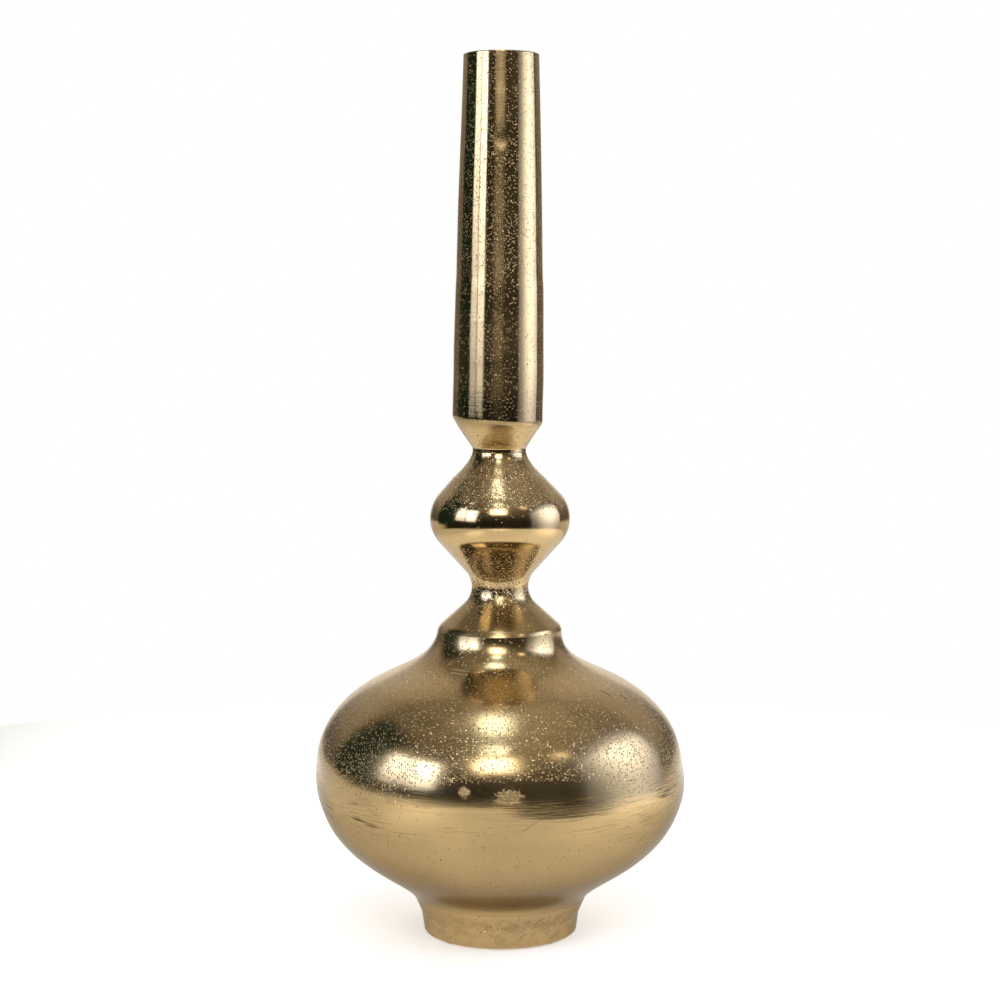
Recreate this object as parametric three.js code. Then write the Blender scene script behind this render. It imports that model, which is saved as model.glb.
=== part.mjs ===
// A tall metal vase made of separate castings: a foot ring, a round body in two halves welded at its widest
// line, a double-cone baluster screwed into the body's mouth, and a tapered neck held on the baluster by a
// hollow nipple and a nut. All pieces share one axis and one bore. Millimetres, +Z up, with the origin on the
// axis at the surface that the felt pads stand on.
import * as THREE from "three";

// Outside shape: radii from the axis and heights above the foot's underside.
const FOOT = { edgeRadius: 45.8, wallRadius: 47.5, wallHeight: 11.5, topRadius: 51.8, height: 21.3 };
const BELLY = { radius: 109.5, height: 94.4 };
const SHOULDER = { radius: 76, height: 150, run: 29.3, fall: 16.9 };
const COLLAR = { radius: 37, height: 182, edgeRadius: 36, edgeHeight: 184.9, rounding: 6 };
const LOWER_WAIST = { cornerRadius: 11, height: 206.6, rounding: 13.7 };
const KNOP = { cornerRadius: 48.8, height: 249.2, rounding: 20.8 };
const UPPER_WAIST = { radius: 15.85, height: 288, landBelow: 2.6, landAbove: 3.1, rounding: 6 };
const NECK = { baseRadius: 26.8, baseHeight: 306.7, barrelHeight: 311, rimRadius: 22.25, height: 520 };
const NECK_BULGE = { radius: 27.1, height: 370 };
const EDGE_ROUNDING = { foot: 1, neckBase: 4, rim: 0.8 };

// Hollows inside the castings.
const BODY_WALL = 4.5;
const BODY_FLOOR = { radius: 46, height: 25.5 };
const MOUTH = { bottom: 166, flareHeight: 163 };
const BALUSTER_WALL = 4.5;
const BALUSTER_BOSS = { bottom: 272, radius: 22, rootHeight: 268 };
const NECK_BORE = { rimRadius: 18.9, baseRadius: 23, baseHeight: 307.5 };
const NECK_FLOOR = { radius: 15.6, height: 297 };

// Screwed joints: a hollow nipple at the upper waist and a large male thread below the collar.
const NIPPLE = { radius: 8.3, boreRadius: 6, bottom: 268, top: 307, chamfer: 0.8 };
const LOCK_NUT = { acrossFlats: 22, height: 5 };
const WASHER = { radius: 13.4, thickness: 1.6 };
const NECK_GASKET = { radius: 12.9, thickness: 0.9, recessRadius: 13.2, recessDepth: 1.3 };
const SPIGOT = { radius: 29, boreRadius: 25, bottom: 168, boreTop: 188.5, chamfer: 1 };
const COLLAR_GASKET = { radius: 34.2, thickness: 1, recessRadius: 34.5, recessDepth: 1.4 };

// Joints of the body: a lip inside the seam, a weld in a groove outside it, and a ring that locates the foot.
const SEAM = { lipRadius: 107, lipHeight: 5, grooveRadius: 107.6, grooveHalfWidth: 2, rootHalfWidth: 0.2 };
const WELD = { rootRadius: 107.95, halfWidth: 1.5, rootHalfWidth: 0.05 };
const LOCATING_RING = { radius: 43.5, boreRadius: 39, bottom: 15, plateHeight: 21 };
const FOOT_BORE = { ledgeRadius: 41, ledgeHeight: 14.6, mouthRadius: 35.5 };
const PAD = { count: 4, radius: 4, thickness: 1, circleRadius: 39 };

const FACE_GAP = 0.2; // between two faces that meet
const FIT_GAP = 0.25; // round a thread or a spigot in its hole

// How finely curves are cut into flat faces.
const SIDES = 40;
const SMALL_SIDES = 24;
const ARC_STEP = THREE.MathUtils.degToRad(20);

const GOLD = { color: 0xcbaf79, metalness: 1, roughness: 0.28 };
const BRASS = { color: 0xd8b45f, metalness: 1, roughness: 0.35 };
const STEEL = { color: 0xb9bcc0, metalness: 1, roughness: 0.35 };
const RUBBER = { color: 0x1d1c1b, metalness: 0, roughness: 0.8 };
const FELT = { color: 0x3a332c, metalness: 0, roughness: 1 };

const at = (radius, height) => new THREE.Vector2(radius, height);

// Points along straight runs whose corners may be rounded: each corner is [radius, height, rounding].
function runs(corners) {
  return corners.flatMap(([radius, height, rounding], i) => {
    const corner = at(radius, height);
    if (!rounding) return [corner];
    const back = at(...corners[i - 1]).sub(corner).normalize();
    const on = at(...corners[i + 1]).sub(corner).normalize();
    const halfAngle = back.angleTo(on) / 2;
    const clockwise = back.cross(on) > 0;
    const centre = back.clone().add(on).setLength(rounding / Math.sin(halfAngle)).add(corner);
    const reach = rounding / Math.tan(halfAngle);
    const start = back.setLength(reach).add(corner).sub(centre).angle();
    const end = on.setLength(reach).add(corner).sub(centre).angle();
    const arc = new THREE.EllipseCurve(centre.x, centre.y, rounding, rounding, start, end, clockwise);
    return arc.getPoints(Math.max(2, Math.ceil((Math.PI - 2 * halfAngle) / ARC_STEP)));
  });
}

// Points at a wall's thickness behind an outside curve, from the curve's far end back to its start.
function behind(curve, wall, steps) {
  return Array.from({ length: steps + 1 }, (_, i) => {
    const share = 1 - i / steps;
    const along = curve.getTangentAt(share);
    return curve.getPointAt(share).add(at(-along.y, along.x).setLength(wall));
  });
}

function piece(name, geometry, finish) {
  const mesh = new THREE.Mesh(geometry, new THREE.MeshStandardMaterial(finish));
  mesh.name = name;
  return mesh;
}

// A solid of revolution. An outline that leaves the axis ends on it too, and any other one closes on itself.
function turned(name, outline, finish, sides = SIDES) {
  const closed = outline[0].x === 0 ? outline : [...outline, outline[0]];
  return piece(name, new THREE.LatheGeometry(closed, sides).rotateX(Math.PI / 2), finish);
}

function flatRing(holeRadius, radius, bottom, thickness) {
  const top = bottom + thickness;
  return [at(holeRadius, bottom), at(radius, bottom), at(radius, top), at(holeRadius, top)];
}

// The outside of the body: the bowl, the belly above the seam and the hollow sweep up to the collar.
const bowl = new THREE.CubicBezierCurve(
  at(FOOT.topRadius, FOOT.height),
  at(FOOT.topRadius + 9.6, FOOT.height + 16.7),
  at(BELLY.radius, BELLY.height - 47.5),
  at(BELLY.radius, BELLY.height),
);
const belly = new THREE.CubicBezierCurve(
  at(BELLY.radius, BELLY.height),
  at(BELLY.radius, BELLY.height + 19.2),
  at(SHOULDER.radius + SHOULDER.run, SHOULDER.height - SHOULDER.fall),
  at(SHOULDER.radius, SHOULDER.height),
);
const sweep = new THREE.CubicBezierCurve(
  at(SHOULDER.radius, SHOULDER.height),
  at(SHOULDER.radius - 0.64 * SHOULDER.run, SHOULDER.height + 0.64 * SHOULDER.fall),
  at(COLLAR.radius + 1.5, COLLAR.height - 17.6),
  at(COLLAR.radius, COLLAR.height),
);

function footRing() {
  const top = FOOT.height - FACE_GAP;
  const boreRadius = LOCATING_RING.radius + FIT_GAP;
  const outline = runs([
    [FOOT_BORE.mouthRadius, 0],
    [FOOT.edgeRadius, 0, EDGE_ROUNDING.foot],
    [FOOT.wallRadius, FOOT.wallHeight, EDGE_ROUNDING.foot],
    [FOOT.topRadius, top],
    [boreRadius, top],
    [boreRadius, FOOT_BORE.ledgeHeight],
    [FOOT_BORE.ledgeRadius, FOOT_BORE.ledgeHeight],
  ]);
  return turned("foot_ring", outline, GOLD);
}

function lowerBowl() {
  const underside = runs([
    [0, LOCATING_RING.plateHeight],
    [LOCATING_RING.boreRadius, LOCATING_RING.plateHeight],
    [LOCATING_RING.boreRadius, LOCATING_RING.bottom],
    [LOCATING_RING.radius, LOCATING_RING.bottom],
    [LOCATING_RING.radius, FOOT.height],
  ]);
  const grooveBottom = BELLY.height - SEAM.grooveHalfWidth;
  const rootHeight = BELLY.height - SEAM.rootHalfWidth;
  const lipTop = BELLY.height + SEAM.lipHeight;
  const outside = bowl.getPoints(11).filter((point) => point.y < grooveBottom);
  const seam = runs([
    [BELLY.radius, grooveBottom],
    [SEAM.grooveRadius, rootHeight],
    [SEAM.lipRadius, rootHeight],
    [SEAM.lipRadius, lipTop],
    [BELLY.radius - BODY_WALL, lipTop],
  ]);
  const inside = behind(bowl, BODY_WALL, 7).filter((point) => point.y > BODY_FLOOR.height + 1);
  const floor = [at(BODY_FLOOR.radius, BODY_FLOOR.height), at(0, BODY_FLOOR.height)];
  return turned("lower_bowl", [...underside, ...outside, ...seam, ...inside, ...floor], GOLD);
}

function seamWeld() {
  const outline = runs([
    [WELD.rootRadius, BELLY.height - WELD.rootHalfWidth],
    [BELLY.radius, BELLY.height - WELD.halfWidth],
    [BELLY.radius, BELLY.height + WELD.halfWidth],
    [WELD.rootRadius, BELLY.height + WELD.rootHalfWidth],
  ]);
  return turned("seam_weld", outline, GOLD);
}

function shoulderShell() {
  const lipRadius = SEAM.lipRadius + FIT_GAP;
  const lipTop = BELLY.height + SEAM.lipHeight + FACE_GAP;
  const rootHeight = BELLY.height + SEAM.rootHalfWidth;
  const grooveTop = BELLY.height + SEAM.grooveHalfWidth;
  const seam = runs([
    [BELLY.radius - BODY_WALL, lipTop],
    [lipRadius, lipTop],
    [lipRadius, rootHeight],
    [SEAM.grooveRadius, rootHeight],
    [BELLY.radius, grooveTop],
  ]);
  const outside = [
    ...belly.getPoints(10).filter((point) => point.y > grooveTop),
    ...sweep.getPoints(8).slice(1),
  ];
  const mouthRadius = SPIGOT.radius + FIT_GAP;
  const recessFloor = COLLAR.height - COLLAR_GASKET.recessDepth;
  const mouth = runs([
    [COLLAR_GASKET.recessRadius, COLLAR.height],
    [COLLAR_GASKET.recessRadius, recessFloor],
    [mouthRadius, recessFloor],
    [mouthRadius, MOUTH.bottom],
  ]);
  const inside = [...behind(sweep, BODY_WALL, 7), ...behind(belly, BODY_WALL, 6).slice(1)];
  const hollow = inside.filter((point) => point.y < MOUTH.flareHeight && point.y > lipTop + 2);
  return turned("shoulder_shell", [...seam, ...outside, ...mouth, ...hollow], GOLD);
}

function baluster() {
  const collarFace = COLLAR.height + FACE_GAP;
  const outside = runs([
    [SPIGOT.boreRadius, SPIGOT.bottom],
    [SPIGOT.radius - SPIGOT.chamfer, SPIGOT.bottom],
    [SPIGOT.radius, SPIGOT.bottom + SPIGOT.chamfer],
    [SPIGOT.radius, collarFace],
    [COLLAR.radius, collarFace],
    [COLLAR.edgeRadius, COLLAR.edgeHeight, COLLAR.rounding],
    [LOWER_WAIST.cornerRadius, LOWER_WAIST.height, LOWER_WAIST.rounding],
    [KNOP.cornerRadius, KNOP.height, KNOP.rounding],
    [UPPER_WAIST.radius, UPPER_WAIST.height - UPPER_WAIST.landBelow, UPPER_WAIST.rounding],
    [UPPER_WAIST.radius, UPPER_WAIST.height],
  ]);
  const recessFloor = UPPER_WAIST.height - NECK_GASKET.recessDepth;
  const threadRadius = NIPPLE.radius + FIT_GAP;
  const waistCorner = LOWER_WAIST.cornerRadius - 1.4 * BALUSTER_WALL;
  const core = runs([
    [NECK_GASKET.recessRadius, UPPER_WAIST.height],
    [NECK_GASKET.recessRadius, recessFloor],
    [threadRadius, recessFloor],
    [threadRadius, BALUSTER_BOSS.bottom],
    [BALUSTER_BOSS.radius, BALUSTER_BOSS.rootHeight],
    [KNOP.cornerRadius - 1.35 * BALUSTER_WALL, KNOP.height, KNOP.rounding - BALUSTER_WALL],
    [waistCorner, LOWER_WAIST.height, LOWER_WAIST.rounding + BALUSTER_WALL],
    [SPIGOT.boreRadius, SPIGOT.boreTop],
  ]);
  return turned("baluster", [...outside, ...core], GOLD);
}

function neckTube() {
  const face = UPPER_WAIST.height + FACE_GAP;
  const cone = runs([
    [UPPER_WAIST.radius, face],
    [UPPER_WAIST.radius, UPPER_WAIST.height + UPPER_WAIST.landAbove, UPPER_WAIST.rounding],
    [NECK.baseRadius, NECK.baseHeight, EDGE_ROUNDING.neckBase],
    [NECK.baseRadius, NECK.barrelHeight],
  ]);
  const barrel = new THREE.QuadraticBezierCurve(
    at(NECK.baseRadius, NECK.barrelHeight),
    at(NECK_BULGE.radius, NECK_BULGE.height),
    at(NECK.rimRadius, NECK.height - 2 * EDGE_ROUNDING.rim),
  );
  const throughRadius = NIPPLE.radius + FIT_GAP;
  const rimAndBore = runs([
    [NECK.rimRadius, NECK.height - 2 * EDGE_ROUNDING.rim],
    [NECK.rimRadius, NECK.height, EDGE_ROUNDING.rim],
    [NECK_BORE.rimRadius, NECK.height, EDGE_ROUNDING.rim],
    [NECK_BORE.baseRadius, NECK_BORE.baseHeight],
    [NECK_FLOOR.radius, NECK_FLOOR.height],
    [throughRadius, NECK_FLOOR.height],
    [throughRadius, face],
  ]);
  return turned("neck_tube", [...cone, ...barrel.getPoints(6).slice(1), ...rimAndBore.slice(1)], GOLD);
}

function neckNipple() {
  const { radius, boreRadius, bottom, top, chamfer } = NIPPLE;
  const outline = runs([
    [boreRadius, bottom],
    [radius - chamfer, bottom],
    [radius, bottom + chamfer],
    [radius, top - chamfer],
    [radius - chamfer, top],
    [boreRadius, top],
  ]);
  return turned("neck_nipple", outline, BRASS, SMALL_SIDES);
}

// The nut bears on the washer, and the washer on the neck's floor.
function neckWasher() {
  const bottom = NECK_FLOOR.height + FACE_GAP;
  const outline = flatRing(NIPPLE.radius + FIT_GAP, WASHER.radius, bottom, WASHER.thickness);
  return turned("neck_washer", outline, STEEL, SMALL_SIDES);
}

function neckLockNut() {
  const cornerRadius = LOCK_NUT.acrossFlats / Math.sqrt(3);
  const corners = Array.from({ length: 6 }, (_, i) => {
    return at(0, cornerRadius).rotateAround(at(0, 0), THREE.MathUtils.degToRad(60 * i));
  });
  const hexagon = new THREE.Shape(corners);
  hexagon.holes.push(new THREE.Path().absarc(0, 0, NIPPLE.radius + FIT_GAP, 0, 2 * Math.PI));
  const geometry = new THREE.ExtrudeGeometry(hexagon, {
    depth: LOCK_NUT.height,
    bevelEnabled: false,
    curveSegments: SMALL_SIDES / 2,
  });
  const nut = piece("neck_lock_nut", geometry, STEEL);
  nut.position.z = NECK_FLOOR.height + WASHER.thickness + 2 * FACE_GAP;
  return nut;
}

// Each gasket lies in a recess in the lower piece of its joint.
function neckGasket() {
  const bottom = UPPER_WAIST.height - NECK_GASKET.recessDepth + FACE_GAP;
  const outline = flatRing(NIPPLE.radius + FIT_GAP, NECK_GASKET.radius, bottom, NECK_GASKET.thickness);
  return turned("neck_gasket", outline, RUBBER, SMALL_SIDES);
}

function collarGasket() {
  const bottom = COLLAR.height - COLLAR_GASKET.recessDepth + FACE_GAP;
  const outline = flatRing(SPIGOT.radius + FIT_GAP, COLLAR_GASKET.radius, bottom, COLLAR_GASKET.thickness);
  return turned("collar_gasket", outline, RUBBER);
}

function feltPads() {
  const { count, radius, thickness, circleRadius } = PAD;
  return Array.from({ length: count }, (_, i) => {
    const azimuth = (2 * Math.PI * (i + 0.5)) / count;
    const disc = new THREE.CylinderGeometry(radius, radius, thickness, SMALL_SIDES).rotateX(Math.PI / 2);
    const pad = piece(`felt_pad_${i + 1}`, disc, FELT);
    pad.position.set(circleRadius * Math.cos(azimuth), circleRadius * Math.sin(azimuth), thickness / 2);
    return pad;
  });
}

// The metalwork stands on the pads.
const metalwork = new THREE.Group();
metalwork.position.z = PAD.thickness + FACE_GAP;
metalwork.add(footRing(), lowerBowl(), seamWeld(), shoulderShell(), collarGasket(), baluster());
metalwork.add(neckGasket(), neckTube(), neckNipple(), neckWasher(), neckLockNut());

const vase = new THREE.Group();
vase.add(metalwork, ...feltPads());

export default vase;
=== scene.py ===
# The looks of a tall gold vase: polished castings with pits, a ground seam, turning lines and a brushed foot.
import math

import bmesh
import bpy
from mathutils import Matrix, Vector, noise

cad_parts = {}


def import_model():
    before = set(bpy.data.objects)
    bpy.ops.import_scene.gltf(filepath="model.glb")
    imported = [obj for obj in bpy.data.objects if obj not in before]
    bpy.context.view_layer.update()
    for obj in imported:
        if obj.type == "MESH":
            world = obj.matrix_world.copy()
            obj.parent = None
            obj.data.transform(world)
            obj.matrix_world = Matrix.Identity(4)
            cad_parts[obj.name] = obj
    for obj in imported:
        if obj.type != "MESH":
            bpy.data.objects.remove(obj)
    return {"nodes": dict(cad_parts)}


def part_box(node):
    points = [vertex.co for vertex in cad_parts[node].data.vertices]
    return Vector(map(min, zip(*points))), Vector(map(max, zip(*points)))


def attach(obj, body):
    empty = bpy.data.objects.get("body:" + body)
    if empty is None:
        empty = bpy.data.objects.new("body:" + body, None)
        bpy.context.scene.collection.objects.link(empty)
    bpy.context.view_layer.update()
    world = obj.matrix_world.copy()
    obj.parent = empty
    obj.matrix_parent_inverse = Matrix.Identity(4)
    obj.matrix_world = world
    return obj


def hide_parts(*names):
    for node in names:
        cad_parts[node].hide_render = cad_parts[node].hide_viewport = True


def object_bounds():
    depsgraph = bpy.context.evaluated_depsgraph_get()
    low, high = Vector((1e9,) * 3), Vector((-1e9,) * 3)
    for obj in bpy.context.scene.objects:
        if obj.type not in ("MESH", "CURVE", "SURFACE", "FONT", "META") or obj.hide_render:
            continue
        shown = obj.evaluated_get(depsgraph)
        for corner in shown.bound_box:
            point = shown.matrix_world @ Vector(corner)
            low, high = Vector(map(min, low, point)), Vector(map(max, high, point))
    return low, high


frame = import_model()
cad_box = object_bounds()

MM = 0.001
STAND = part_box("foot_ring")[0].z  # the metal stands this high, on felt pads
TOP = cad_box[1].z

# Outside shape in millimetres: (radius, height above the foot's underside, rounding of a corner).
FOOT_EDGE = (45.8, 0, 1)
FOOT_WALL = (47.5, 11.5, 1)
FOOT_TOP = (51.8, 21.3)
BELLY = (109.9, 94.4)
SHOULDER = (76, 150)
COLLAR = (37, 182)
COLLAR_EDGE = (35.6, 184.7, 6)
LOWER_WAIST = (11.1, 206.5, 13.7)
KNOP = (49.3, 248.7, 21.5)
KNOP_TOP = (26.6, 273.3)
UPPER_WAIST = (15.9, 288)
CONE_FOOT = (UPPER_WAIST[0], 290.3, 1.5)
NECK_BASE = (26.8, 306.7, 6)
NECK_BARREL = (26.8, 311)
NECK_BULGE = (27.1, 370)
NECK_RIM = (22.25, 520, 0.8)
NECK_BORE = (18.9, 520, 0.8)

# Points that the outside's curves are drawn towards, between their ends.
BOWL_PULLS = ((62.6, 37.4), (BELLY[0], 46.9))
BELLY_PULLS = ((BELLY[0], 113.6), (105.3, 133.1))
SWEEP_PULLS = ((56.7, 160.6), (38.2, 163.9))
FLARE_PULL = (17, 281.9)

# Joints that show as lines.
JOINT_GAP = 0.05  # between two castings that meet
JOINT_EDGE = 0.12  # rounding of the edges at such a joint
FOOT_GAP = 0.01  # at the foot's joint, which is ground flush
SEAM_GROOVE = 2  # half the width of the weld's groove
SEAM_ROOT = 107.6  # radius at the bottom of the groove
SEAM_FALL = 0.03  # the belly is this much slimmer at the edges of the groove
WELD_ROOT = SEAM_ROOT + 0.3  # radius at the bottom of the weld

# Hidden corners and hollows, as radii, as heights, or as the outside shape is given.
WALL = 4.5
FOOT_MOUTH = 35.5
FOOT_BORE = 43.75
FOOT_LEDGE = (41, 14.6)
LOCATING_RING = (43.5, 15)  # the bowl's ring that the foot fits over
RING_BORE = 39
PLATE_BOTTOM = 21  # height of the bowl's underside within that ring
BOWL_FLOOR = (46, 25.5)
BOWL_HOLLOW = 27  # the bowl's curved hollow starts at this height
LIP_RADIUS = 107  # the bowl's lip inside the seam
LIP_HEIGHT = 5
LIP_FIT = 0.25  # gap between the lip and the shoulder round it
LIP_CLEAR = 2  # the shoulder's curved hollow starts this far above the lip
MOUTH = (29.25, 166)
MOUTH_FLARE = 163  # that hollow ends at this height
COLLAR_SEAT = (34.5, 180.6)  # recess for the gasket below the collar
SPIGOT = (29, 168)
SPIGOT_CHAMFER = 1
SPIGOT_BORE = (25, 188.5)
WAIST_CORE = (4.7, LOWER_WAIST[1], 18.2)
KNOP_CORE = (42.7, KNOP[1], 16.3)
BOSS_ROOT = (22, 268)
BOSS_BOTTOM = 272
NIPPLE_HOLE = 8.55
NECK_SEAT = (13.2, 286.7)  # recess for the gasket below the neck
NECK_FLOOR = (15.6, 297)
NECK_BORE_END = (23, 307.5)

# How finely the turned pieces are cut into faces.
BODY_SEGMENTS = 480
STEM_SEGMENTS = 256
NECK_SEGMENTS = 192
RING_SPACING = 1.4
HIDDEN_SPACING = 12
ARC_STEP = math.radians(5)
SHARP_TURN = math.radians(30)

# Waves in the hand-ground surface: (height, length) in millimetres.
LONG_WAVES = (0.16, 42)
SHORT_WAVES = (0.035, 13)
SHORT_WAVES_START = Vector((5, 2, 9))  # keeps the short waves from following the long ones
SLIM_SHARE = 0.4  # the least share of those heights, on the slimmest pieces
SEAM_WAVES = (0.05, 30)
SEAM_WAVES_RISE = 3.5  # their length upwards
SEAM_BAND = (3, 14)  # they fade out between these distances from the seam

# Marks of hand work: (azimuth, height, half width, half height) in degrees and millimetres. Azimuth 0 is
# towards the camera, and grows to its right.
WELD_SPOTS = [(3, 106, 8, 4), (-10, 108, 3.6, 3)]
WELD_SPOT_RISE = 0.15
SEAM_SWELLS = [(20, 88, 48, 13), (-88, 89, 75, 15), (88, 88, 75, 15), (180, 89, 60, 14)]
SEAM_SWELL_RISE = 0.6
POLISHED = (3, 103, 75, 12)  # where the seam was ground smooth again after welding
NECK_DENT = (2, 469, 6, 6)
NECK_DENT_DEPTH = 0.3
NECK_NICK = (-28.5, 308.5, 0.9, 4.5)
NECK_NICK_DEPTH = 0.35

# Scratches on the shoulder: (azimuth, radius, height) of both ends.
KNOCKS = [((55.2, 71.1, 152.6), (58, 79, 148.2)), ((64, 78.2, 148.7), (65.5, 83.7, 145.1))]
# The hairline scratches are also painted paler, as a painted highlight.
HAIRLINES = [((-35.5, 47.8, 164.4), (-16.2, 49.3, 163.5)), ((-34.2, 50.1, 162.9), (-21, 51.3, 162.3))]
KNOCK_WIDTH = 1
HAIRLINE_WIDTH = 0.6
STROKE_DEPTH = 6  # a stroke marks the surface up to this far above and below the line of its ends
SHOULDER_SLOPE = 0.5  # the shoulder faces this far outwards for each step upwards

# The neck was turned in two goes, which meet in a slight step.
NECK_STEP = 388  # height of the step
NECK_STEP_RISE = 0.3
NECK_STEP_REACH = 6  # half the height that the step takes up
NECK_HOLLOW = 0.22  # the second go is this much slimmer at the step
NECK_HOLLOW_END = 450
NECK_STEP_START = 335  # the first go has come out to its full size at this height

# The crease at the neck's base is higher on the left.
CREASE_TILT = 1.9
CREASE_REACH = 9

# Height, and how far the middle of the hand-fitted vase stands to the right there.
LEAN = [(0, 0.2), (85, 0.4), (112, -0.65), (163, -1.5), (188, 0), (258, 0), (275, -0.6), (290, -0.4),
        (303, -1.5), (340, -0.8), (391, -0.2), (520, 0.8)]


# Outlines


def curve(*controls, steps=40):
    """Points along the Bezier curve with these control points."""
    points = []
    for step in range(steps + 1):
        row = [Vector(control[:2]) for control in controls]
        while len(row) > 1:
            row = [a.lerp(b, step / steps) for a, b in zip(row, row[1:])]
        points.append(row[0])
    return points


def runs(*corners):
    """Points along straight runs. A corner with a third number is rounded by that radius."""
    points = []
    for i, corner in enumerate(corners):
        here = Vector(corner[:2])
        if len(corner) == 2:
            points.append(here)
            continue
        rounding = corner[2]
        back = (Vector(corners[i - 1][:2]) - here).normalized()
        on = (Vector(corners[i + 1][:2]) - here).normalized()
        half_angle = back.angle(on) / 2
        centre = here + (back + on).normalized() * rounding / math.sin(half_angle)
        reach = rounding / math.tan(half_angle)
        start = here + back * reach - centre
        end = here + on * reach - centre
        steps = max(2, math.ceil((math.pi - 2 * half_angle) / ARC_STEP))
        points += [centre + rounding * start.slerp(end, step / steps) for step in range(steps + 1)]
    return points


def behind(points, wall):
    """A line at a wall's thickness inside another, from its far end back to its start."""
    line = []
    for i, point in enumerate(points):
        along = points[min(i + 1, len(points) - 1)] - points[max(i - 1, 0)]
        line.append(point + Vector((-along.y, along.x)).normalized() * wall)
    return line[::-1]


def cut(points, spacing):
    """The same line with points added, so that no step along it is longer than the spacing."""
    line = points[:1]
    for a, b in zip(points, points[1:]):
        steps = max(1, math.ceil((b - a).length / spacing))
        line += [a.lerp(b, step / steps) for step in range(1, steps + 1)]
    return line


# Hand work


def smooth(value, low, high):
    """0 up to low, 1 from high, and a smooth step between."""
    share = min(1, max(0, (value - low) / (high - low)))
    return share * share * (3 - 2 * share)


def lean(height):
    """How far the vase's middle stands to the right at a height."""
    offset = LEAN[0][1]
    for (low, start), (high, end) in zip(LEAN, LEAN[1:]):
        offset += (end - start) * smooth(height, low, high)
    return offset


def away(mark, radius, azimuth, height):
    """How far a point is from an oval mark: 0 at its middle and 1 at its edge."""
    mark_azimuth, mark_height, half_width, half_height = mark
    across = math.radians(azimuth - mark_azimuth) * radius / half_width
    return math.hypot(across, (height - mark_height) / half_height)


def spot(azimuth, radius, height):
    """A point of the vase in metres."""
    angle = math.radians(azimuth)
    across = radius * math.sin(angle) + lean(height)
    return Vector((across * MM, -radius * math.cos(angle) * MM, STAND + height * MM))


def waves(place, radius):
    """Uneven grinding, which is wavy all over and has finer ridges along the seam."""
    size = SLIM_SHARE + (1 - SLIM_SHARE) * radius / BELLY[0]
    rise, length = LONG_WAVES
    offset = rise * size * noise.noise(place / length)
    rise, length = SHORT_WAVES
    offset += rise * size * noise.noise(place / length + SHORT_WAVES_START)
    rise, length = SEAM_WAVES
    seam_share = 1 - smooth(abs(place.z - BELLY[1]), *SEAM_BAND)
    ridges = Vector((place.x / length, place.y / length, place.z / SEAM_WAVES_RISE))
    return offset + rise * seam_share * noise.noise(ridges)


def weld_spot(place, distance):
    """A weld spot, with a ragged edge and a grainy top. The distance is 1 at the edge."""
    ragged = distance + 0.5 * noise.noise(place / 2.5)
    grain = 0.7 + 0.5 * noise.noise(place / 1.6)
    return WELD_SPOT_RISE * grain * (1 - smooth(ragged, 0.7, 1.2))


def neck_step(height):
    """The step between the neck's two goes of turning."""
    step = NECK_STEP_RISE * (1 - smooth(height, NECK_STEP - NECK_STEP_REACH, NECK_STEP + NECK_STEP_REACH))
    step -= NECK_HOLLOW * (1 - smooth(height, NECK_STEP, NECK_HOLLOW_END))
    return step * smooth(height, NECK_BARREL[1], NECK_STEP_START)


def relief(radius, azimuth, height):
    """How far the hand-worked surface stands off its turned shape, in millimetres."""
    angle = math.radians(azimuth)
    place = Vector((radius * math.sin(angle), -radius * math.cos(angle), height))
    offset = waves(place, radius)
    for mark in WELD_SPOTS:
        offset += weld_spot(place, away(mark, radius, azimuth, height))
    offset += neck_step(height)
    swells = [(mark, SEAM_SWELL_RISE) for mark in SEAM_SWELLS]
    for mark, rise in (*swells, (NECK_DENT, -NECK_DENT_DEPTH), (NECK_NICK, -NECK_NICK_DEPTH)):
        offset += rise * (1 - smooth(away(mark, radius, azimuth, height), 0.1, 1.1))
    return offset


def worked(point, normal, azimuth):
    """A point of an outside line with the hand work at this azimuth: its radius and height."""
    radius, height = point + normal * relief(point.x, azimuth, point.y)
    crease = math.exp(-(((height - NECK_BASE[1]) / CREASE_REACH) ** 2))
    return radius, height - CREASE_TILT * crease * math.sin(math.radians(azimuth))


# Turned pieces


def smooth_piece(name, vertices, faces):
    """A mesh that is shaded smoothly, apart from its sharp edges."""
    mesh = bpy.data.meshes.new(name)
    mesh.from_pydata(vertices, [], faces)
    shape = bmesh.new()
    shape.from_mesh(mesh)
    bmesh.ops.recalc_face_normals(shape, faces=shape.faces)
    for face in shape.faces:
        face.smooth = True
    for edge in shape.edges:
        edge.smooth = edge.calc_face_angle(0) < SHARP_TURN
    shape.to_mesh(mesh)
    shape.free()
    piece = bpy.data.objects.new(name, mesh)
    bpy.context.scene.collection.objects.link(piece)
    return piece


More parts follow.
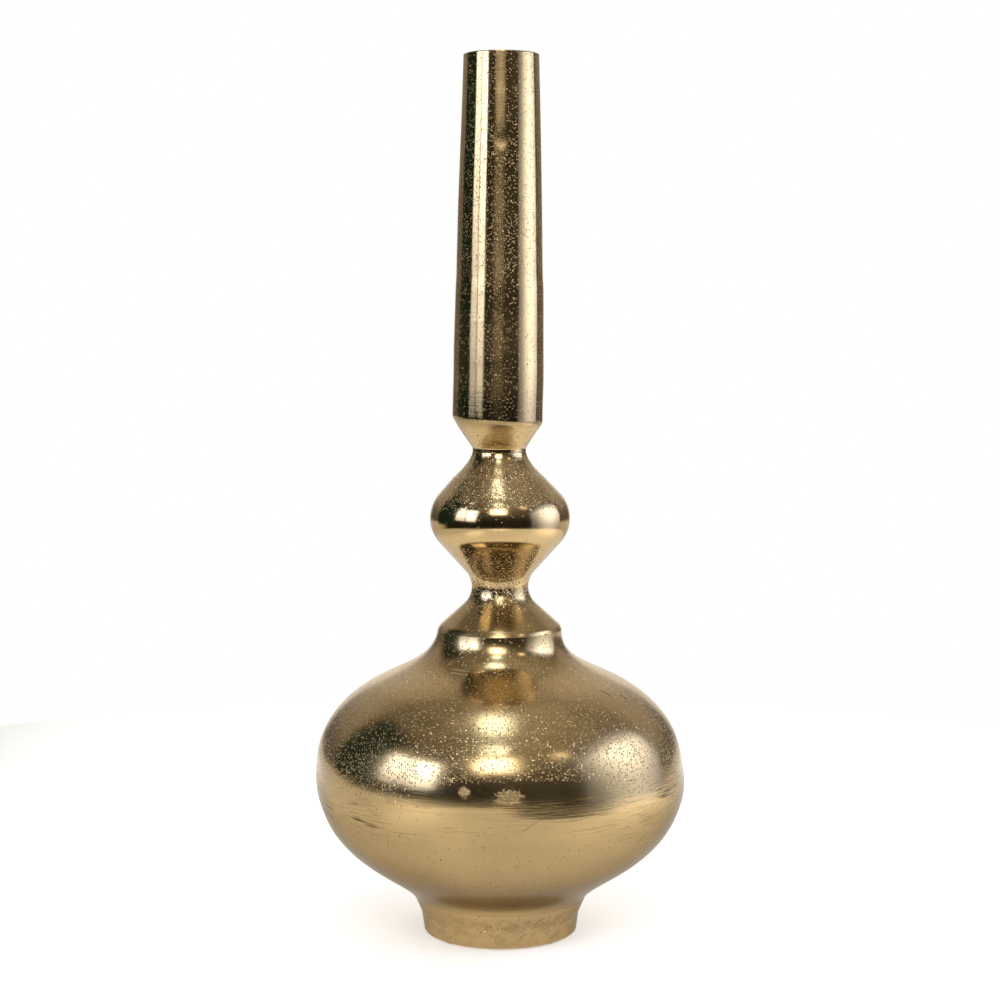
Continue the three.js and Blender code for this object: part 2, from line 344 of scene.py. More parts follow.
def turned(name, outside, hidden, segments):
    """A closed piece turned about the axis: its outside, with the hand work, then the rest of its outline."""
    outer = cut(outside, RING_SPACING)
    outline = outer + cut([outside[-1], *hidden, outside[0]], HIDDEN_SPACING)[1:-1]
    vertices = []
    rings = []
    for i, point in enumerate(outline):
        if point.x == 0:
            rings.append([len(vertices)] * segments)
            vertices.append((0, 0, STAND + point.y * MM))
            continue
        rings.append(range(len(vertices), len(vertices) + segments))
        along = outer[min(i + 1, len(outer) - 1)] - outer[min(max(i - 1, 0), len(outer) - 2)]
        normal = Vector((along.y, -along.x)).normalized()
        for k in range(segments):
            azimuth = 360 * k / segments - 180
            radius, height = worked(point, normal, azimuth) if i < len(outer) else point
            x = radius * math.sin(math.radians(azimuth)) + (lean(point.y) if i < len(outer) else 0)
            y = -radius * math.cos(math.radians(azimuth))
            vertices.append((x * MM, y * MM, STAND + height * MM))
    faces = []
    for low, high in zip(rings, rings[1:] + rings[:1]):
        for k in range(segments):
            corners = list(dict.fromkeys([low[k - 1], low[k], high[k], high[k - 1]]))
            if len(corners) > 2:
                faces.append(corners)
    return smooth_piece(name, vertices, faces)


def foot():
    top = FOOT_TOP[1] - FOOT_GAP
    outside = runs((FOOT_MOUTH, 0), FOOT_EDGE, FOOT_WALL, (FOOT_TOP[0], top), (FOOT_BORE, top))
    return turned("foot", outside, runs((FOOT_BORE, FOOT_LEDGE[1]), FOOT_LEDGE), STEM_SEGMENTS)


def bowl():
    groove = BELLY[1] - SEAM_GROOVE
    root = BELLY[1] - JOINT_GAP
    lip = BELLY[1] + LIP_HEIGHT
    side = curve(FOOT_TOP, *BOWL_PULLS, BELLY)
    outside = [point for point in side if point.y < groove] + [Vector((BELLY[0] - SEAM_FALL, groove))]
    seam = runs((SEAM_ROOT, root), (LIP_RADIUS, root), (LIP_RADIUS, lip), (BELLY[0] - WALL, lip))
    hollow = [point for point in behind(side, WALL) if point.y > BOWL_HOLLOW]
    bottom = runs(BOWL_FLOOR, (0, BOWL_FLOOR[1]))
    ring_radius, ring_bottom = LOCATING_RING
    underside = runs((0, PLATE_BOTTOM), (RING_BORE, PLATE_BOTTOM), (RING_BORE, ring_bottom), LOCATING_RING,
                     (ring_radius, FOOT_TOP[1]))
    return turned("bowl", outside, [*seam, *hollow[1:], *bottom, *underside], BODY_SEGMENTS)


def seam_weld():
    radius, middle = BELLY
    outside = [Vector((radius - SEAM_FALL * side**2, middle + SEAM_GROOVE * side)) for side in (-1, 0, 1)]
    root = runs((WELD_ROOT, middle + JOINT_GAP), (WELD_ROOT, middle - JOINT_GAP))
    return turned("weld", outside, root, BODY_SEGMENTS)


def shoulder():
    groove = BELLY[1] + SEAM_GROOVE
    root = BELLY[1] + JOINT_GAP
    lip = BELLY[1] + LIP_HEIGHT + JOINT_GAP
    lip_radius = LIP_RADIUS + LIP_FIT
    belly = curve(BELLY, *BELLY_PULLS, SHOULDER)
    sweep = curve(SHOULDER, *SWEEP_PULLS, COLLAR)
    outside = [Vector((BELLY[0] - SEAM_FALL, groove))] + [point for point in belly if point.y > groove]
    outside += sweep[1:-1]
    outside += runs(sweep[-2], (*COLLAR, JOINT_EDGE), (COLLAR_SEAT[0], COLLAR[1]))[1:]
    mouth = runs(COLLAR_SEAT, (MOUTH[0], COLLAR_SEAT[1]), MOUTH)
    inside = behind(belly + sweep[1:], WALL)
    hollow = [point for point in inside if lip + LIP_CLEAR < point.y < MOUTH_FLARE]
    seam = runs((BELLY[0] - WALL, lip), (lip_radius, lip), (lip_radius, root), (SEAM_ROOT, root))
    return turned("shoulder", outside, [*mouth, *hollow, *seam], BODY_SEGMENTS)


def baluster():
    face = COLLAR[1] + JOINT_GAP
    waist_radius, top = UPPER_WAIST
    spigot_radius, spigot_bottom = SPIGOT
    outside = runs((spigot_radius, face), (COLLAR[0], face, JOINT_EDGE), COLLAR_EDGE, LOWER_WAIST, KNOP,
                   KNOP_TOP)
    flare = curve(KNOP_TOP, FLARE_PULL, UPPER_WAIST)
    outside += flare[1:-1] + runs(flare[-2], (waist_radius, top, JOINT_EDGE), (NECK_SEAT[0], top))[1:]
    core = runs(NECK_SEAT, (NIPPLE_HOLE, NECK_SEAT[1]), (NIPPLE_HOLE, BOSS_BOTTOM), BOSS_ROOT, KNOP_CORE,
                WAIST_CORE, SPIGOT_BORE, (SPIGOT_BORE[0], spigot_bottom),
                (spigot_radius - SPIGOT_CHAMFER, spigot_bottom),
                (spigot_radius, spigot_bottom + SPIGOT_CHAMFER))
    return turned("baluster_stem", outside, core, STEM_SEGMENTS)


def neck():
    face = UPPER_WAIST[1] + JOINT_GAP
    shaft = curve(NECK_BARREL, NECK_BULGE, (NECK_RIM[0], NECK_RIM[1] - 2 * NECK_RIM[2]))
    outside = runs((NIPPLE_HOLE, face), (UPPER_WAIST[0], face, JOINT_EDGE), CONE_FOOT, NECK_BASE, NECK_BARREL)
    outside += shaft[1:-1] + runs(shaft[-1], NECK_RIM, NECK_BORE, NECK_BORE_END)[:-1]
    inside = runs(NECK_BORE_END, NECK_FLOOR, (NIPPLE_HOLE, NECK_FLOOR[1]))
    return turned("neck", outside, inside, NECK_SEGMENTS)


# Finishes


class Nodes:
    """Nodes written as formulas: each call adds a node and gives its output."""

    def __init__(self, tree):
        self.tree = tree

    def add(self, kind, inputs=(), **settings):
        node = self.tree.nodes.new(kind)
        for setting, value in settings.items():
            setattr(node, setting, value)
        for socket, value in dict(inputs).items():
            self.feed(node.inputs[socket], value)
        return node

    def feed(self, socket, value):
        if isinstance(value, bpy.types.NodeSocket):
            self.tree.links.new(value, socket)
        else:
            socket.default_value = value

    def math(self, operation, *values):
        return self.add("ShaderNodeMath", dict(enumerate(values)), operation=operation).outputs[0]

    def vector(self, operation, *values):
        """A sum with vectors, which gives a vector, or a number for a length or a dot product."""
        node = self.add("ShaderNodeVectorMath", dict(enumerate(values)), operation=operation)
        return node.outputs["Value" if operation in ("LENGTH", "DOT_PRODUCT") else "Vector"]

    def total(self, *values):
        result = values[0]
        for value in values[1:]:
            result = self.math("ADD", result, value)
        return result

    def product(self, *values):
        result = values[0]
        for value in values[1:]:
            result = self.math("MULTIPLY", result, value)
        return result

    def weighed(self, *pairs):
        """The total of some values, each times its weight."""
        return self.total(*(self.product(value, weight) for value, weight in pairs))

    def ramp(self, value, low, high, start=0.0, end=1.0):
        """From start at low to end at high, smoothly."""
        inputs = {0: value, 1: low, 2: high, 3: start, 4: end}
        return self.add("ShaderNodeMapRange", inputs, interpolation_type="SMOOTHSTEP").outputs[0]


class Finish(Nodes):
    """A material: places are in metres, and heights of its relief in millimetres."""

    MARK_EDGE = (0.46, 0.3)  # a mark comes up between these distances from its middle, as shares of its size
    STROKE_EDGE = (1, 0.4)  # and a stroke between these shares of its width and length

    def __init__(self, name):
        self.material = bpy.data.materials.new(name)
        self.material.use_nodes = True
        super().__init__(self.material.node_tree)
        self.shader = self.tree.nodes["Principled BSDF"]
        self.place = self.add("ShaderNodeTexCoord").outputs["Object"]

    def set(self, **inputs):
        for socket, value in inputs.items():
            self.feed(self.shader.inputs[socket.replace("_", " ")], value)

    def sides(self, place):
        """The X, Y and Z of a place."""
        return self.add("ShaderNodeSeparateXYZ", {0: place}).outputs

    def noise(self, scale, detail=2.0, roughness=0.5, stretch=(1, 1, 1)):
        """Cloudy noise with about this many patches to the metre, drawn out by the stretch."""
        place = self.vector("MULTIPLY", self.place, stretch)
        inputs = {"Vector": place, "Scale": scale, "Detail": detail, "Roughness": roughness}
        return self.add("ShaderNodeTexNoise", inputs).outputs["Fac"]

    def marks(self, size, cover, turn=0.0):
        """Pits or scratches spaced by this size, in a share of their places: 1 on a mark, and its slant."""
        inputs = {"Vector": self.place, "Rotation": (0, math.radians(turn), 0), "Scale": size}
        place = self.add("ShaderNodeMapping", inputs, vector_type="TEXTURE").outputs[0]
        cells = self.add("ShaderNodeTexVoronoi", {"Vector": place, "Scale": 1.0}).outputs
        lots = self.add("ShaderNodeSeparateColor", {0: cells["Color"]}).outputs
        here = self.math("LESS_THAN", lots[0], cover)
        mark = self.product(self.ramp(cells["Distance"], *self.MARK_EDGE), here)
        offset = self.vector("SUBTRACT", place, cells["Position"])
        chance = self.add("ShaderNodeCombineXYZ", {0: lots[1], 1: lots[1], 2: lots[2]}).outputs[0]
        way = self.vector("SUBTRACT", chance, (0.5, 0.5, 0.5))
        return mark, self.product(mark, self.vector("DOT_PRODUCT", offset, way))

    def oval(self, point, reach):
        """How far a place is from a point: 0 there, and 1 at its reach along each axis."""
        share = self.vector("DIVIDE", self.vector("SUBTRACT", self.place, point), reach)
        return self.vector("LENGTH", share)

    def stroke(self, ends, width):
        """1 along a scratch between two points of the shoulder, and 0 past its width and its ends."""
        start, end = (spot(*point) for point in ends)
        along = (end - start) / 2
        middle = (start + end) / 2
        out = (middle.xy.to_3d().normalized() * SHOULDER_SLOPE + Vector((0, 0, 1))).normalized()
        offset = self.vector("SUBTRACT", self.place, middle)
        mark = 1.0
        for way, reach in ((along, along.length), (along.cross(out), width * MM), (out, STROKE_DEPTH * MM)):
            share = self.product(self.vector("DOT_PRODUCT", offset, way.normalized()), 1 / reach)
            mark = self.product(mark, self.ramp(self.math("ABSOLUTE", share), *self.STROKE_EDGE))
        return mark

    def mix(self, share, a, b):
        node = self.add("ShaderNodeMix", {0: share, 6: a, 7: b}, data_type="RGBA")
        return node.outputs[2]

    def levels(self, share, stops):
        """A value given at some places from 0 to 1, and blended between them."""
        node = self.add("ShaderNodeValToRGB", {0: share})
        elements = node.color_ramp.elements
        while len(elements) < len(stops):
            elements.new(0.5)
        for element, (place, value) in zip(elements, stops):
            element.position = place
            element.color = (value, value, value, 1)
        return node.outputs["Color"]

    def by_height(self, stops):
        """A value given at some heights in millimetres above the foot's underside, blended between them."""
        places = [((STAND + height * MM) / TOP, value) for height, value in stops]
        return self.levels(self.product(self.sides(self.place)["Z"], 1 / TOP), places)

    def bump(self, height):
        """The normal of a surface with this height in millimetres."""
        inputs = {"Strength": 1.0, "Distance": MM, "Height": height}
        self.feed(self.shader.inputs["Normal"], self.add("ShaderNodeBump", inputs).outputs["Normal"])


# Cast gold

GOLD_DARK = (0.5, 0.345, 0.155, 1)
GOLD_LIGHT = (0.56, 0.395, 0.185, 1)
# A paler gold for painted highlights on glints and hairline scratches.
PAINTED_HIGHLIGHT_GOLD = (0.85, 0.68, 0.4, 1)
# Dark brown for the real grime and for the painted shade.
GRIME_AND_SHADE = (0.03, 0.015, 0.005, 1)

# Sizes of single marks in metres.
GLINT_SIZE = (0.001, 0.001, 0.001)
BRUSH_MARK = (0.012, 0.012, 0.0007)
LONG_SCRATCH = (0.03, 0.03, 0.0009)
SHORT_SCRATCH = (0.022, 0.022, 0.0008)

# Patches to the metre along each axis, for marks that run round the vase.
GRINDING_STREAKS = (45, 45, 1700)
TURNING_SWELLS = (10, 10, 45)
TURNING_LINES = (90, 90, 2500)
DEEP_LINES = (8, 8, 1200)

SWELL_RANGE = (0.5, 1.3)  # how faint and how strong the turning gets
PIT_FLOOR = (0, 0.4)  # how much of a mark makes the way from the surface to a pit's smooth floor

# How the finish changes with the height in millimetres.
# Painted shade: the metal is darkened by one minus these shares, most on the lower bowl, round the foot's top
# and at the neck's base.
PAINTED_SHADE_BY_HEIGHT = [(0, 0.97), (8, 0.92), (16, 0.84), (24, 0.92), (32, 0.8), (45, 0.7), (75, 0.75), (88, 0.9),
        (100, 1), (302, 1), (307, 0.65), (316, 0.75), (328, 1), (519, 1)]
# Painted shade on grazing reflections: the edge tint is lower under the belly, on the knop's underside and
# below the neck.
EDGE_PAINTED_SHADE_BY_HEIGHT = [(0, 0.5), (80, 0.45), (92, 0.6), (105, 1), (190, 1), (208, 0.7), (243, 0.7), (252, 1),
             (286, 1), (290, 0.8), (304, 0.8), (310, 1), (519, 1)]
# Glints are bumped and painted paler, as a painted highlight.
GLINT_COVER = [(0, 0), (112, 0), (130, 0.05), (165, 0.1), (176, 0), (192, 0), (198, 0.35), (228, 0.3),
               (234, 0), (255, 0), (261, 0.5), (278, 0.5), (287, 0), (519, 0)]
PIT_COVER = [(0, 0.03), (9, 0.05), (13, 0.2), (17, 0.2), (20, 0.05), (84, 0.05), (96, 0.05), (103, 0.65),
             (140, 0.5), (160, 0.4), (168, 0.3), (178, 0.15), (190, 0.15), (197, 0.8), (225, 0.8),
             (234, 0.15), (238, 0.01), (252, 0.01), (258, 0.4), (263, 0.9), (278, 0.8), (286, 0.2),
             (294, 0.5), (302, 0.1), (312, 0.25), (335, 0.2), (385, 0.25), (400, 0.4), (455, 0.38),
             (475, 0.25), (519, 0.25)]
PIT_SIZE = [(0, 0.0011), (302, 0.0011), (306, 0.0008), (519, 0.0008)]
GRINDING = [(0, 0.3), (20, 0.1), (72, 0.1), (84, 1), (102, 0.9), (110, 0.1), (180, 0.1), (250, 0),
            (519, 0.1)]
BRUSHING = [(0, 0), (3, 1), (15, 1), (20, 0), (519, 0)]
TURNING = [(0, 0), (304, 0), (310, 1), (519, 1)]
TOOL_LINES = [(0, 0), (303, 0), (307, 1), (318, 0.6), (330, 0.1), (362, 0), (365, 1), (368, 0), (519, 0)]
ROUGHNESS = [(0, 0.32), (20, 0.3), (78, 0.26), (90, 0.2), (103, 0.16), (112, 0.18), (130, 0.17), (150, 0.16),
             (168, 0.16), (180, 0.19), (188, 0.17), (202, 0.17), (222, 0.18), (232, 0.14), (240, 0.1),
             (252, 0.12), (262, 0.14), (282, 0.14), (304, 0.13), (316, 0.14), (335, 0.16), (395, 0.16),
             (430, 0.14), (519, 0.14)]


def on_body(mark):
    """The place of a mark on the widest part of the body, and its reach along each axis."""
    azimuth, height, half_width, half_height = mark
    reach = (half_width * MM, BELLY[0] / 2 * MM, half_height * MM)
    return spot(azimuth, BELLY[0], height), reach


def casting_marks(finish):
    """1 on a pit of the casting, 1 on a glint painted paler as a painted highlight, and the slant of both."""
    patches = finish.ramp(finish.noise(30, detail=3), 0.3, 0.56, 0.65, 1)
    rough_cast = finish.ramp(finish.oval(*on_body(POLISHED)), 0.75, 1.05)
    pit_cover = finish.product(finish.by_height(PIT_COVER), patches, rough_cast)
    pits, pit_slant = finish.marks(finish.by_height(PIT_SIZE), pit_cover)
    glint_cover = finish.product(finish.by_height(GLINT_COVER), patches)
    painted_glints, glint_slant = finish.marks(GLINT_SIZE, glint_cover)
    return pits, painted_glints, finish.total(pit_slant, finish.product(glint_slant, 0.25))


def seam_grinding(finish, worn):
    """The height of the grinding along the seam, 1 on its lines, and their dirt, which is less in front."""
    streaks = finish.noise(1, detail=4, stretch=GRINDING_STREAKS)
    ground = finish.product(finish.by_height(GRINDING), worn)
    lines = finish.product(finish.ramp(streaks, 0.5, 0.7), ground)
    sideways = finish.math("ABSOLUTE", finish.sides(finish.place)["X"])
    dirt = finish.product(lines, finish.ramp(sideways, 0.03, 0.095, 0.35, 1))
    return finish.product(streaks, ground), lines, dirt


def foot_brushing(finish, worn):
    """1 on a slanting brush mark of the foot, and 1 on a smudge there."""
    share = finish.by_height(BRUSHING)
    brushed = finish.product(finish.marks(BRUSH_MARK, 0.5, turn=-42)[0], share, worn)
    patchy = finish.ramp(finish.noise(140, detail=4, stretch=(1, 1, 1.6)), 0.46, 0.6)
    return brushed, finish.product(patchy, share)


def neck_turning(finish):
    """The share of turned metal, how strong its lines are, and the height of the fine and the deep ones."""
    share = finish.by_height(TURNING)
    swells = finish.ramp(finish.noise(1, detail=1, stretch=TURNING_SWELLS), 0.3, 0.7, *SWELL_RANGE)
    fine = finish.product(finish.noise(1, detail=2, stretch=TURNING_LINES), share, swells)
    deep = finish.product(finish.noise(1, detail=2, stretch=DEEP_LINES), finish.by_height(TOOL_LINES))
    return share, swells, fine, deep


def stray_scratches(finish):
    """1 on the few scratches that cross the vase both ways."""
    rising = finish.marks(LONG_SCRATCH, 0.005, turn=28)[0]
    falling = finish.marks(SHORT_SCRATCH, 0.005, turn=-35)[0]
    return finish.math("MAXIMUM", rising, falling)


def weld_spots(finish):
    """1 on the weld spots, which have torn edges."""
    torn = finish.product(finish.noise(800, detail=3), 1.6)
    edges = [finish.total(finish.oval(*on_body(mark)), torn) for mark in WELD_SPOTS]
    return finish.math("MAXIMUM", *(finish.ramp(edge, 1.65, 1.5) for edge in edges))


def gold():
    finish = Finish("gold_casting")
    clouds = finish.noise(70, detail=4, roughness=0.6)
    stains = finish.ramp(finish.noise(18, detail=3), 0.3, 0.7, 0, 0.12)
    worn = finish.ramp(finish.noise(22, detail=2, stretch=(1, 1, 3)), 0.35, 0.6)
    pits, painted_glints, slant = casting_marks(finish)
    ground, lines, dirt = seam_grinding(finish, worn)
    brushed, smudges = foot_brushing(finish, worn)
    turned_share, swells, turning, tool_lines = neck_turning(finish)
    scratches = stray_scratches(finish)
    knocks = finish.total(*(finish.stroke(ends, KNOCK_WIDTH) for ends in KNOCKS))
    hairlines_with_painted_highlight = finish.total(*(finish.stroke(ends, HAIRLINE_WIDTH) for ends in HAIRLINES))
    spots = weld_spots(finish)
    grains = finish.product(finish.noise(600, detail=3), spots)

    tone = finish.mix(clouds, GOLD_DARK, GOLD_LIGHT)
    # Painted highlight: the glints and the hairline scratches are painted in a paler gold.
    tone = finish.mix(finish.math("MAXIMUM", painted_glints, hairlines_with_painted_highlight), tone, PAINTED_HIGHLIGHT_GOLD)
    # Painted shade by height, mixed toward dark brown along with the real dirt, pits, scratches, brush marks,
    # smudges, weld spots, knocks and stains.
    painted_shade = finish.math("SUBTRACT", 1.0, finish.by_height(PAINTED_SHADE_BY_HEIGHT))
    grime_and_shade = finish.weighed((dirt, 0.8), (pits, 0.2), (scratches, 0.2), (brushed, 0.12), (smudges, 0.12),
                              (spots, 0.2), (knocks, 0.75), (painted_shade, 1.0), (stains, 1.0))
    tone = finish.mix(grime_and_shade, tone, GRIME_AND_SHADE)
    # The edge tint by height carries painted shade on grazing reflections.
    finish.set(Base_Color=tone, Metallic=1.0, Specular_Tint=finish.by_height(EDGE_PAINTED_SHADE_BY_HEIGHT))
    finish.set(Coat_Weight=0.15, Coat_Roughness=0.08)

    round_axis = finish.add("ShaderNodeTangent", direction_type="RADIAL", axis="Z").outputs[0]
    turned_metal = finish.product(turned_share, finish.ramp(pits, *PIT_FLOOR, 0.9, 0))
    finish.set(Anisotropic=turned_metal, Anisotropic_Rotation=0.25, Tangent=round_axis)
    worn_smooth = finish.product(finish.by_height(ROUGHNESS), finish.ramp(pits, *PIT_FLOOR, 1, 0.4),
                                 finish.ramp(swells, *SWELL_RANGE, 0.88, 1.12))
    finish.set(Roughness=finish.weighed((worn_smooth, 1.0), (lines, 0.08), (spots, 0.03), (clouds, 0.04)))
    finish.bump(finish.weighed((pits, -0.05), (slant, 1.4), (ground, 0.08), (turning, 0.02),
                               (tool_lines, 0.08), (scratches, -0.02), (brushed, -0.06), (grains, 1.2),
                               (clouds, 0.02), (knocks, -0.1), (hairlines_with_painted_highlight, -0.06)))
    return finish.material


def plain(name, dark, light, metallic, rough, scale, grain):
    """A finish with a fine cloudy grain: two colours, range of roughness, patches to the metre, height."""
    finish = Finish(name)
    clouds = finish.noise(scale, detail=4, roughness=0.65)
    finish.set(Base_Color=finish.mix(clouds, (*dark, 1), (*light, 1)), Metallic=metallic)
    finish.set(Roughness=finish.ramp(clouds, 0.3, 0.7, *rough))
    finish.bump(finish.product(clouds, grain))
    return finish.material


# Studio: soft boxes, two windows and dim walls round the vase, which the metal mirrors. Sizes in metres.

STUDIO_RADIUS = 4.5
CEILING_HEIGHT = 2.5
CEILING_MIDDLE = -0.06  # the ceiling's lights are this far to the right of the vase
FLOOR_RADIUS = 0.76

SKY = (0.63, 0.725, 1)
PALE = (0.75, 0.87, 1)
NEUTRAL = (1, 1, 1)
WARM = (1, 0.92, 0.8)
SEA_GREEN = (0.45, 1, 0.78)
FLOOR_DARK = (0.82, 0.79, 0.72, 1)
FLOOR_LIGHT = (0.85, 0.82, 0.75, 1)
FLOOR_SHINE = (1, 0.98, 0.93, 1)

# How bright the room is at some heights, from 0 at the horizon to 1 overhead.
FRONT_WALL = [(0, 0.03), (0.17, 0.045), (0.34, 0.09), (0.5, 0.16), (0.7, 0.27), (0.87, 0.4), (1, 0.45)]
BACK_WALL = [(0, 0.3), (0.15, 0.36), (0.3, 0.8), (0.5, 1.05), (0.7, 0.95), (0.9, 0.6), (1, 0.5)]
BACKDROP = 0.7

# How a sheet of light falls off from one end to the other.
EVEN = [(0, 1), (1, 1)]
SOFT = [(0, 0.4), (0.3, 1), (0.7, 1), (1, 0.4)]
WINDOW_UP = [(0, 0.42), (0.1, 0.46), (0.2, 0.58), (0.3, 0.75), (0.4, 1), (1, 1)]
BOX_ACROSS = [(0, 0.1), (0.06, 0.14), (0.18, 0.22), (0.4, 0.62), (0.55, 0.8), (0.65, 0.8), (0.82, 0.58),
              (1, 0.4)]
BOX_UP = [(0, 0.3), (0.2, 0.38), (0.4, 0.7), (0.55, 0.9), (0.68, 1), (0.77, 0.4), (0.88, 0.15), (1, 0.05)]

# How the floor shines at some distances from the axis, lower near the vase as a painted shadow, and its
# painted pools of light: (middle, reach, strength).
FLOOR_FADE = [(0.045, 0.45), (0.065, 0.55), (0.085, 0.6), (0.12, 0.63), (0.3, 0.62)]
PAINTED_LIGHT_POOLS = [((-0.3, -0.34, 0), (0.18, 0.24, 1), 0.6), ((0.56, -0.05, 0), (0.28, 0.4, 1), 0.6),
               ((0, -0.7, 0), (0.3, 0.2, 1), 0.8)]

CAMERA_LENS = 74.16
CAMERA_SENSOR = 36
CAMERA_PLACE = (0, -1.21914, 0.37128)
CAMERA_DIP = 0.09076  # the camera looks down by this angle in radians


def glow(name, strength, tint):
    """A shining material. The strength is a function that makes it from the finish."""
    finish = Finish(name)
    finish.tree.nodes.remove(finish.shader)
    light = finish.add("ShaderNodeEmission", {"Color": (*tint, 1), "Strength": strength(finish)})
    finish.tree.links.new(light.outputs[0], finish.tree.nodes["Material Output"].inputs["Surface"])
    return finish.material


def stage_piece(name, mesh, material):
    """A thing of the studio that the camera doesn't see."""
    mesh.materials.append(material)
    thing = bpy.data.objects.new(name, mesh)
    bpy.context.scene.collection.objects.link(thing)
    thing.visible_camera = False


def sheet(name, centre, across, up, strength, tint=NEUTRAL, falls=(SOFT, SOFT)):
    """A flat sheet of light: its middle, half sides and brightness, and how that falls off along both."""
    square = ((-1, -1), (1, -1), (1, 1), (-1, 1))
    corners = [Vector(centre) + x * Vector(across) + y * Vector(up) for x, y in square]
    mesh = bpy.data.meshes.new(name)
    mesh.from_pydata(corners, [], [(0, 1, 2, 3)])
    spread = mesh.uv_layers.new(name="spread")
    for loop, (x, y) in zip(spread.data, square):
        loop.uv = ((x + 1) / 2, (y + 1) / 2)

    def falling(finish):
        parts = finish.sides(finish.add("ShaderNodeUVMap", uv_map="spread").outputs[0])
        across_fall, up_fall = falls
        return finish.product(finish.levels(parts["X"], across_fall), finish.levels(parts["Y"], up_fall),
                              strength)

    stage_piece(name, mesh, glow(name, falling, tint))


def upright(name, azimuth, distance, half_width, bottom, top, strength, tint=NEUTRAL, falls=(SOFT, SOFT)):
    """A sheet of light that stands at an azimuth and faces the vase."""
    angle = math.radians(azimuth)
    centre = (distance * math.sin(angle), -distance * math.cos(angle), (bottom + top) / 2)
    across = (half_width * math.cos(angle), half_width * math.sin(angle), 0)
    sheet(name, centre, across, (0, 0, (top - bottom) / 2), strength, tint, falls)


def overhead(name, depth, half_width, half_depth, strength):
    """A level sheet of light in the ceiling. The depth grows away from the camera."""
    centre = (CEILING_MIDDLE, depth, CEILING_HEIGHT)
    sheet(name, centre, (half_width, 0, 0), (0, half_depth, 0), strength, PALE)


def walls():
    """The dim room: dark behind the camera, grey behind the vase, and lighter overhead and to the right."""

    def strength(finish):
        parts = finish.sides(finish.vector("NORMALIZE", finish.place))
        clutter = finish.ramp(finish.noise(1.6, detail=3), 0.3, 0.7, 0.7, 1.3)
        side = finish.ramp(parts["X"], -0.6, 0.4, 0.65, 1.05)
        behind_vase = finish.ramp(parts["Y"], 0.4, 0.6)
        in_front = finish.math("SUBTRACT", 1.0, behind_vase)
        back_side = finish.ramp(finish.math("ABSOLUTE", parts["X"]), 0.05, 0.5, 1, 0.5)
        below = finish.product(finish.ramp(parts["Y"], 0.1, 0.4), finish.ramp(parts["Z"], -0.02, -0.08))
        backdrop = finish.math("MAXIMUM", finish.ramp(parts["Y"], 0.9, 0.96), below)
        return finish.total(finish.product(finish.levels(parts["Z"], FRONT_WALL), side, clutter, in_front),
                            finish.product(finish.levels(parts["Z"], BACK_WALL), back_side, behind_vase),
                            finish.product(backdrop, BACKDROP))

    shape = bmesh.new()
    bmesh.ops.create_icosphere(shape, subdivisions=4, radius=STUDIO_RADIUS)
    mesh = bpy.data.meshes.new("walls")
    shape.to_mesh(mesh)
    shape.free()
    stage_piece("walls", mesh, glow("walls", strength, WARM))


def studio():
    walls()
    for name, azimuth, strength in (("window_far", -68.8, 5.7), ("window_near", -48.6, 7.8)):
        upright(name, azimuth, distance=3.2, half_width=0.505, bottom=0.32, top=2.3, strength=strength,
                tint=SKY, falls=(EVEN, WINDOW_UP))
    upright("side_box", azimuth=82, distance=0.8, half_width=0.48, bottom=-0.1, top=0.95, strength=6.8,
            tint=SKY, falls=(BOX_ACROSS, BOX_UP))
    upright("dark_screen", azimuth=-100, distance=2, half_width=0.77, bottom=-0.1, top=2.4, strength=0.035,
            tint=SEA_GREEN, falls=(EVEN, EVEN))
    upright("warm_lamp", azimuth=48, distance=2.2, half_width=0.22, bottom=1.95, top=2.45, strength=4,
            tint=WARM)
    sheet("front_box", centre=(-0.08, -1.8, 1.55), across=(0.5, 0, 0), up=(0, 0.1, 0.46), strength=7.5)
    overhead("ceiling_near", depth=-1.52, half_width=0.32, half_depth=0.38, strength=6)
    overhead("ceiling_dim", depth=-0.88, half_width=0.3, half_depth=0.24, strength=1.5)
    overhead("ceiling_far", depth=-0.1, half_width=0.3, half_depth=0.5, strength=6)


def lit_to_eye(nodes):
    """1 for rays from the camera and for those that mirrors and glass pass on."""
    path = nodes.add("ShaderNodeLightPath").outputs
    either = nodes.math("MAXIMUM", path["Is Camera Ray"], path["Is Glossy Ray"])
    return nodes.math("MAXIMUM", either, path["Is Transmission Ray"])


def floor_finish():
    """A pale floor that shines a little by itself, with painted shadow under the vase, painted shade in front
    and on the far left, and painted pools of light.
    """
    finish = Finish("floor")
    grain = finish.noise(60, detail=4)
    finish.set(Base_Color=finish.mix(grain, FLOOR_DARK, FLOOR_LIGHT))
    finish.set(Roughness=finish.ramp(grain, 0.3, 0.7, 0.7, 0.85), Specular_IOR_Level=0.2)
    parts = finish.sides(finish.place)
    # Painted shadow: the shine is lower near the vase, and painted shade lowers it in front and on the far
    # left.
    fade = finish.product(finish.levels(finish.vector("LENGTH", finish.place), FLOOR_FADE),
                          finish.ramp(parts["Y"], -0.34, -0.16, 0.75, 1),
                          finish.ramp(parts["X"], -0.5, -0.3, 0.5, 1))
    # Painted pools of light on the floor.
    pools = [finish.ramp(finish.oval(middle, reach), 1, 0.2, 0, strength)
             for middle, reach, strength in PAINTED_LIGHT_POOLS]
    shine = finish.product(lit_to_eye(finish), finish.total(fade, *pools))
    finish.set(Emission_Color=FLOOR_SHINE, Emission_Strength=shine)
    finish.bump(finish.product(grain, 0.05))
    return finish.material


def floor():
    shape = bmesh.new()
    bmesh.ops.create_circle(shape, cap_ends=True, segments=128, radius=FLOOR_RADIUS)
    mesh = bpy.data.meshes.new("floor")
    shape.to_mesh(mesh)
    shape.free()
    mesh.materials.append(floor_finish())
    disc = bpy.data.objects.new("floor", mesh)
    bpy.context.scene.collection.objects.link(disc)


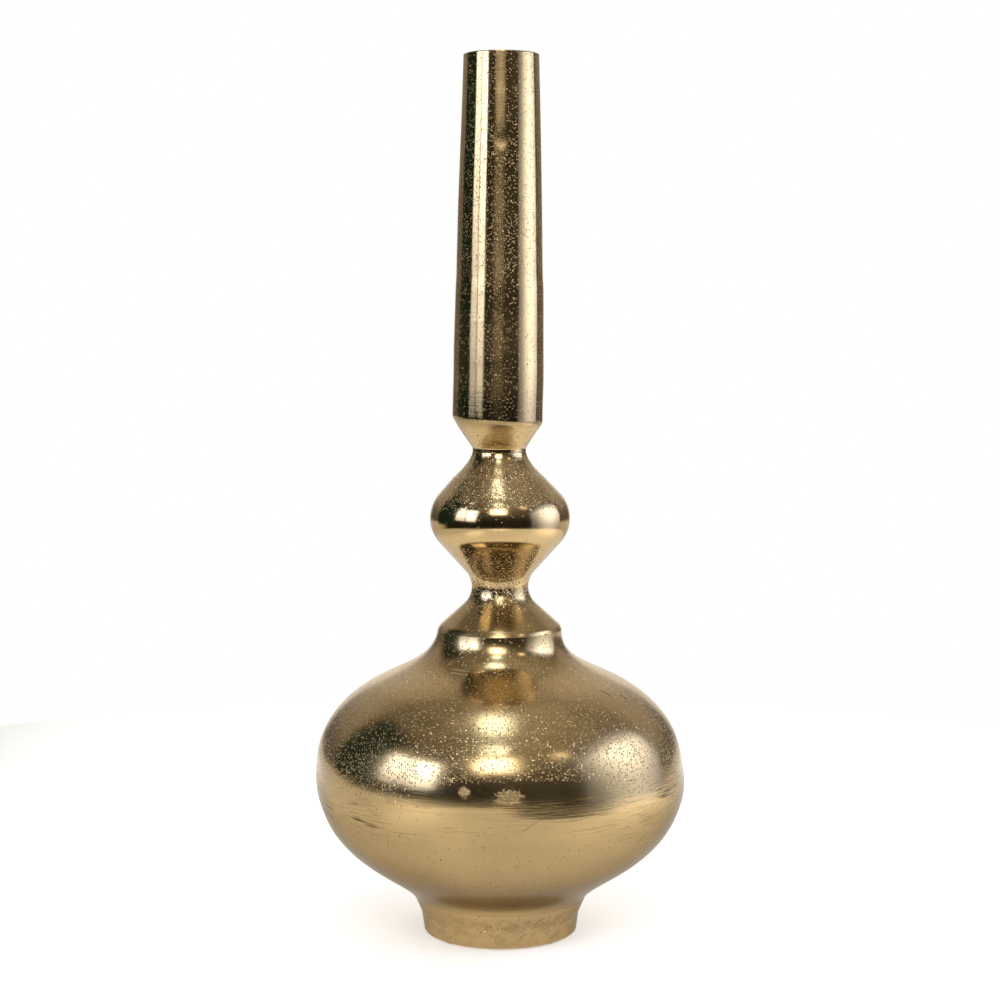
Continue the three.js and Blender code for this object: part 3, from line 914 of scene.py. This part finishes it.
def world():
    air = bpy.data.worlds.new("studio_air")
    air.use_nodes = True
    background = air.node_tree.nodes["Background"]
    background.inputs["Color"].default_value = (1, 1, 1, 1)
    nodes = Nodes(air.node_tree)
    nodes.feed(background.inputs["Strength"], lit_to_eye(nodes))
    bpy.context.scene.world = air


def camera():
    data = bpy.data.cameras.new("camera")
    data.lens = CAMERA_LENS
    data.sensor_width = CAMERA_SENSOR
    eye = bpy.data.objects.new("camera", data)
    eye.location = CAMERA_PLACE
    eye.rotation_euler = (math.pi / 2 - CAMERA_DIP, 0, 0)
    bpy.context.scene.collection.objects.link(eye)
    bpy.context.scene.camera = eye


bpy.context.scene.view_settings.view_transform = "Standard"
camera()
world()
studio()
floor()

gold_material = gold()
castings = {
    "foot_ring": foot(),
    "lower_bowl": bowl(),
    "seam_weld": seam_weld(),
    "shoulder_shell": shoulder(),
    "baluster": baluster(),
    "neck_tube": neck(),
}
for node, piece in castings.items():
    piece.data.materials.append(gold_material)
    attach(piece, "root")
    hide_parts(node)

brass = plain("brass", dark=(0.62, 0.42, 0.12), light=(0.75, 0.54, 0.2), metallic=1.0, rough=(0.25, 0.4),
              scale=160, grain=0.02)
steel = plain("steel", dark=(0.42, 0.43, 0.44), light=(0.56, 0.57, 0.58), metallic=1.0, rough=(0.28, 0.45),
              scale=220, grain=0.02)
rubber = plain("rubber", dark=(0.011, 0.011, 0.01), light=(0.02, 0.019, 0.018), metallic=0.0,
               rough=(0.7, 0.9), scale=400, grain=0.05)
felt = plain("felt", dark=(0.03, 0.024, 0.018), light=(0.06, 0.05, 0.04), metallic=0.0, rough=(0.9, 1.0),
             scale=900, grain=0.25)
kept = {
    "neck_nipple": (brass, "brass_fitting"),
    "neck_lock_nut": (steel, "steel_fitting"),
    "neck_washer": (steel, "steel_fitting"),
    "neck_gasket": (rubber, "gasket_rubber"),
    "collar_gasket": (rubber, "gasket_rubber"),
}
for number in range(1, 5):
    kept[f"felt_pad_{number}"] = (felt, "felt")
for node, (material, slot) in kept.items():
    part = frame["nodes"][node]
    part.data.materials.clear()
    part.data.materials.append(material)
